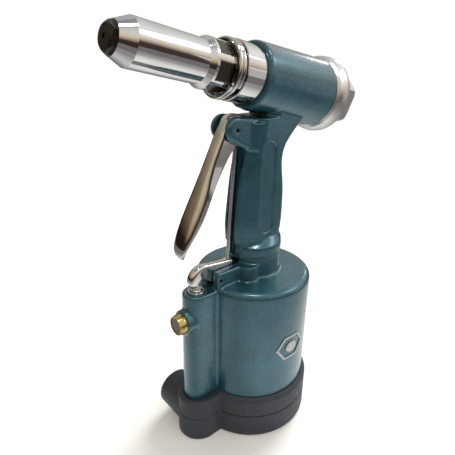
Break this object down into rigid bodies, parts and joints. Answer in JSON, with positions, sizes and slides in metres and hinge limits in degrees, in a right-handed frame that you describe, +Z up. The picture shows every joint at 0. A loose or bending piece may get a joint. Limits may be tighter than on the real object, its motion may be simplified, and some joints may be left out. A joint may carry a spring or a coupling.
{
  "type": "pneumatic rivet gun",
  "caption": "Pistol-grip hydro-pneumatic blind rivet gun with an air cylinder base, long trigger, tilted barrel and chrome nose.",
  "frame": {"origin": "centre of the boot's flat foot, on the air cylinder's axis", "axes": "+Z up the air cylinder's axis, the nose towards -X, the air inlet towards +Y"},
  "size_m": [0.1938, 0.0936, 0.2976],
  "materials": {
    "teal_paint": "hammertone teal enamel on cast aluminium",
    "boot_rubber": "matte dark grey moulded rubber",
    "chrome": "polished chrome plate on steel",
    "satin_aluminium": "satin turned aluminium",
    "black_steel": "black-oxide hardened steel",
    "steel": "machined steel",
    "spring_steel": "oil-tempered spring wire",
    "brass": "turned brass",
    "mesh_steel": "woven steel gauze",
    "seal_rubber": "nitrile seal rubber",
    "emblem_silver": "bright silver badge"
  },
  "bodies": {
    "gun_body": {"cylinder_casting": "teal_paint", "base_boot": "boot_rubber", "cylinder_end_cover": "satin_aluminium", "end_cover_o_ring": "seal_rubber", "end_cover_snap_ring": "spring_steel", "piston_bumper": "seal_rubber", "neck_ram_seal": "seal_rubber", "neck_threaded_collar": "steel", "side_emblem": "emblem_silver", "valve_bush": "chrome", "valve_sleeve": "brass", "valve_bottom_plug": "brass", "valve_spring": "spring_steel", "muffler_body": "brass", "muffler_mesh": "mesh_steel", "air_inlet_adapter": "brass", "handle_casting": "teal_paint", "oil_filler_screw": "black_steel", "oil_filler_washer": "seal_rubber", "frame_lock_nut": "chrome", "nose_housing": "chrome", "nose_set_screw": "black_steel", "nosepiece": "black_steel", "nose_housing_o_ring": "seal_rubber", "rear_cap": "satin_aluminium", "rear_cap_o_ring": "seal_rubber", "rod_gland_seal": "seal_rubber", "return_spring": "spring_steel", "trigger_pivot_pin": "black_steel", "lever_pivot_pin": "black_steel"},
    "trigger_body": {"trigger": "chrome", "trigger_link_pin": "steel"},
    "rod_body": {"trigger_rod": "chrome"},
    "lever_body": {"valve_lever": "chrome", "lever_link_pin": "steel"},
    "stem_body": {"valve_stem": "steel", "valve_stem_o_rings": "seal_rubber"},
    "air_piston_body": {"air_piston": "satin_aluminium", "air_piston_seal": "seal_rubber", "hydraulic_ram": "chrome", "ram_nut": "steel"},
    "pull_piston_body": {"pull_piston": "steel", "pull_piston_seal": "seal_rubber", "jaw_case_nut": "steel", "jaw_case": "steel", "jaw_spring": "spring_steel"},
    "jaw_pusher_body": {"jaw_pusher": "steel"},
    "jaw_1_body": {"jaw_1": "black_steel"},
    "jaw_2_body": {"jaw_2": "black_steel"},
    "jaw_3_body": {"jaw_3": "black_steel"},
    "ring_body": {"hanging_ring": "chrome"}
  },
  "joints": [
    {"name": "trigger_hinge", "type": "hinge", "parent": "gun_body", "child": "trigger_body", "pos_m": [-0.0276, 0, 0.2338], "axis": [0, -1, 0], "range_deg": [0, 21], "stiffness_Nm_per_rad": 0.6, "springref_deg": -8.59},
    {"name": "rod_slide", "type": "slide", "parent": "gun_body", "child": "rod_body", "axis": [0.059, 0, 0.9983], "range_m": [0, 0.00248]},
    {"name": "lever_hinge", "type": "hinge", "parent": "gun_body", "child": "lever_body", "pos_m": [-0.04, 0, 0.129], "axis": [0, -1, 0], "range_deg": [0, 10.98]},
    {"name": "stem_slide", "type": "slide", "parent": "gun_body", "child": "stem_body", "axis": [0, 0, -1], "range_m": [0, 0.00315], "deforming": ["valve_spring"]},
    {"name": "air_piston_slide", "type": "slide", "parent": "gun_body", "child": "air_piston_body", "axis": [0, 0, 1], "range_m": [0, 0.07]},
    {"name": "pull_piston_slide", "type": "slide", "parent": "gun_body", "child": "pull_piston_body", "axis": [0.9792, 0, -0.2028], "range_m": [0, 0.016], "deforming": ["return_spring"]},
    {"name": "jaw_pusher_slide", "type": "slide", "parent": "pull_piston_body", "child": "jaw_pusher_body", "axis": [-0.9792, 0, 0.2028], "range_m": [0, 0.001], "deforming": ["jaw_spring"]},
    {"name": "hanging_ring_swivel", "type": "hinge", "parent": "gun_body", "child": "ring_body", "pos_m": [-0.03355, 0, 0.27114], "axis": [-0.9792, 0, 0.2028], "continuous": true},
    {"name": "jaw_1_slide", "type": "slide", "parent": "pull_piston_body", "child": "jaw_1_body", "axis": [-0.9968, 0, -0.0795], "range_m": [0, 0.00104]},
    {"name": "jaw_2_slide", "type": "slide", "parent": "pull_piston_body", "child": "jaw_2_body", "axis": [-0.9117, -0.2425, 0.3318], "range_m": [0, 0.00104]},
    {"name": "jaw_3_slide", "type": "slide", "parent": "pull_piston_body", "child": "jaw_3_body", "axis": [-0.9117, 0.2425, 0.3318], "range_m": [0, 0.00104]}
  ],
  "couplings": [
    {"joint": "rod_slide", "follows": "trigger_hinge", "m_per_rad": 0.0067657},
    {"joint": "lever_hinge", "follows": "trigger_hinge", "ratio": 0.5228},
    {"joint": "stem_slide", "follows": "trigger_hinge", "m_per_rad": 0.0085935},
    {"joint": "pull_piston_slide", "follows": "air_piston_slide", "ratio": 0.22855},
    {"joint": "jaw_pusher_slide", "follows": "air_piston_slide", "ratio": 0.014284},
    {"joint": "jaw_1_slide", "follows": "air_piston_slide", "ratio": 0.01488},
    {"joint": "jaw_2_slide", "follows": "air_piston_slide", "ratio": 0.01488},
    {"joint": "jaw_3_slide", "follows": "air_piston_slide", "ratio": 0.01488}
  ]
}
